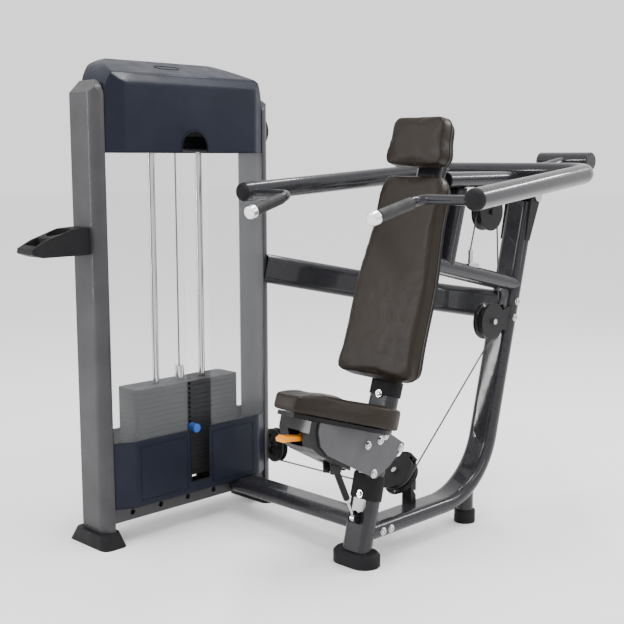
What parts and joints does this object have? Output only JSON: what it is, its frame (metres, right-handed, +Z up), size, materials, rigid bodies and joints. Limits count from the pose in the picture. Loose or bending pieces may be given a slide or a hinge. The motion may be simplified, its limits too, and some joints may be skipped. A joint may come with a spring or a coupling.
{
  "type": "shoulder press machine",
  "caption": "Seated shoulder press with a pivoting yoke arm, cable-driven weight stack tower, leaning column with pads and a gas-assisted seat.",
  "frame": {"origin": "centre of the seat column's rubber foot, on the floor", "axes": "+Z up, the user faces -Y, and the weight tower stands on the -X side"},
  "size_m": [1.2857, 1.7715, 1.5076],
  "materials": {
    "frame_paint": "gloss graphite powder coat",
    "post_paint": "satin grey metallic powder coat",
    "black_metal": "satin black paint",
    "shroud_plastic": "fine-textured dark blue-grey moulding",
    "clear_plastic": "frosted clear sheet",
    "rubber": "moulded black rubber",
    "bright_steel": "polished",
    "upholstery": "dark brown grained leatherette",
    "pad_board": "black moulded backing",
    "weight_plate": "dark grey coated steel",
    "pulley_plastic": "black nylon",
    "cable": "black coated steel cable",
    "aluminium": "turned and brushed",
    "release_yellow": "yellow-orange moulding",
    "knob_blue": "blue moulding",
    "plate_grey": "grey metallic paint"
  },
  "bodies": {
    "frame": {"seat_column": "frame_paint", "rear_frame_tube": "frame_paint", "lower_crossbeam": "frame_paint", "upper_crossbeam": "frame_paint", "brace": "frame_paint", "arm_rest_post": "frame_paint", "frame_feet": "rubber", "frame_trim": "rubber", "frame_fasteners": "bright_steel", "pivot_ears": "black_metal", "pivot_shaft": "bright_steel", "pulley_brackets": "black_metal", "pulley_axles": "bright_steel", "seat_frame_pins": "black_metal", "back_pad": "upholstery", "head_pad": "upholstery", "pad_boards": "pad_board", "cable_main": "cable", "cable_anchor_run": "cable", "cable_arm_run": "cable", "cable_stack_run": "cable", "tower_post_front": "post_paint", "tower_post_rear": "post_paint", "tower_feet": "rubber", "tower_crossmembers": "post_paint", "top_shroud": "shroud_plastic", "lower_guard": "shroud_plastic", "clear_panels": "clear_plastic", "guide_rods": "bright_steel", "stack_bumpers": "rubber", "resting_plates": "weight_plate", "bottle_holder": "rubber"},
    "press_arm": {"arm_lever": "frame_paint", "arm_yoke": "frame_paint", "arm_end_caps": "rubber", "pivot_bearing": "black_metal", "counterweight": "frame_paint", "arm_pulley_hanger": "black_metal", "handle_bars": "frame_paint", "hand_grips": "rubber", "grip_caps": "aluminium", "cable_arm_wrap": "cable"},
    "arm_pulley": {"arm_pulley": "pulley_plastic"},
    "mid_pulley": {"mid_pulley": "pulley_plastic"},
    "low_pulley": {"low_pulley": "pulley_plastic"},
    "tower_pulley": {"tower_pulley": "pulley_plastic"},
    "post_pulley": {"post_pulley": "pulley_plastic"},
    "stack_pulley": {"stack_pulley": "pulley_plastic"},
    "weight_carriage": {"lifted_plates": "weight_plate", "selector_stem": "bright_steel"},
    "selector_pin": {"selector_pin": "knob_blue"},
    "seat_upper_link": {"seat_upper_link": "black_metal"},
    "seat_lower_link": {"seat_lower_link": "black_metal"},
    "seat_carrier": {"seat_base": "black_metal", "seat_pad": "upholstery", "seat_side_plates": "plate_grey", "seat_fasteners": "bright_steel"},
    "release_lever": {"release_lever": "release_yellow"},
    "gas_rod": {"gas_rod": "bright_steel"},
    "gas_cylinder": {"gas_cylinder": "black_metal"}
  },
  "joints": [
    {"name": "press_arm", "type": "hinge", "parent": "frame", "child": "press_arm", "pos_m": [0, 0.829, 1.076], "axis": [-1, 0, 0], "range_deg": [0, 32], "deforming": ["cable_anchor_run", "cable_arm_run"]},
    {"name": "arm_pulley_spin", "type": "hinge", "parent": "press_arm", "child": "arm_pulley", "pos_m": [0.024, 0.59, 1.03], "axis": [1, 0, 0], "range_deg": [0, 190]},
    {"name": "mid_pulley_spin", "type": "hinge", "parent": "frame", "child": "mid_pulley", "pos_m": [0.024, 0.611, 0.66975], "axis": [1, 0, 0], "range_deg": [0, 310]},
    {"name": "low_pulley_spin", "type": "hinge", "parent": "frame", "child": "low_pulley", "pos_m": [-0.02813, 0.22239, 0.21828], "axis": [-0.1592, -0.6781, 0.7175], "range_deg": [0, 310]},
    {"name": "tower_pulley_spin", "type": "hinge", "parent": "frame", "child": "tower_pulley", "pos_m": [-0.6578, 0.28004, 0.18601], "axis": [-0.1508, -0.9886, 0], "range_deg": [0, 310]},
    {"name": "post_pulley_spin", "type": "hinge", "parent": "frame", "child": "post_pulley", "pos_m": [-0.71, 0.2352, 1.294], "axis": [-1, 0, 0], "range_deg": [0, 310]},
    {"name": "stack_pulley_spin", "type": "hinge", "parent": "frame", "child": "stack_pulley", "pos_m": [-0.71, -0.0512, 1.294], "axis": [-1, 0, 0], "range_deg": [0, 310]},
    {"name": "stack_lift", "type": "slide", "parent": "frame", "child": "weight_carriage", "axis": [0, 0, 1], "range_m": [0, 0.29], "deforming": ["cable_stack_run"]},
    {"name": "pin_pull", "type": "slide", "parent": "weight_carriage", "child": "selector_pin", "axis": [1, 0, 0], "range_m": [0, 0.1]},
    {"name": "seat_lift", "type": "hinge", "parent": "frame", "child": "seat_upper_link", "pos_m": [0, 0.089, 0.444], "axis": [-1, 0, 0], "range_deg": [0, 55]},
    {"name": "seat_lower_link", "type": "hinge", "parent": "frame", "child": "seat_lower_link", "pos_m": [0, 0.06, 0.349], "axis": [-1, 0, 0], "range_deg": [0, 56]},
    {"name": "seat_level", "type": "hinge", "parent": "seat_upper_link", "child": "seat_carrier", "pos_m": [0, 0.029, 0.384], "axis": [-1, 0, 0], "range_deg": [-56, 0]},
    {"name": "release_lever", "type": "hinge", "parent": "seat_carrier", "child": "release_lever", "pos_m": [0, -0.216, 0.427], "axis": [-1, 0, 0], "range_deg": [0, 12], "stiffness_Nm_per_rad": 2, "springref_deg": -5.73},
    {"name": "gas_rod_swing", "type": "hinge", "parent": "frame", "child": "gas_rod", "pos_m": [0, -0.012, 0.141], "axis": [-1, 0, 0], "range_deg": [0, 2]},
    {"name": "gas_spring_stroke", "type": "slide", "parent": "gas_rod", "child": "gas_cylinder", "axis": [0, -0.4281, 0.9037], "range_m": [0, 0.08]}
  ],
  "couplings": [
    {"joint": "arm_pulley_spin", "follows": "press_arm", "ratio": 5.53},
    {"joint": "mid_pulley_spin", "follows": "press_arm", "ratio": 9.0625},
    {"joint": "low_pulley_spin", "follows": "press_arm", "ratio": 9.0625},
    {"joint": "tower_pulley_spin", "follows": "press_arm", "ratio": 9.0625},
    {"joint": "post_pulley_spin", "follows": "press_arm", "ratio": 9.0625},
    {"joint": "stack_pulley_spin", "follows": "press_arm", "ratio": 9.0625},
    {"joint": "stack_lift", "follows": "press_arm", "m_per_rad": 0.4785},
    {"joint": "seat_lower_link", "follows": "seat_lift", "ratio": 1},
    {"joint": "seat_level", "follows": "seat_lift", "ratio": -1},
    {"joint": "gas_rod_swing", "follows": "seat_lift", "ratio": 0.02},
    {"joint": "gas_spring_stroke", "follows": "seat_lift", "m_per_rad": 0.0811}
  ]
}
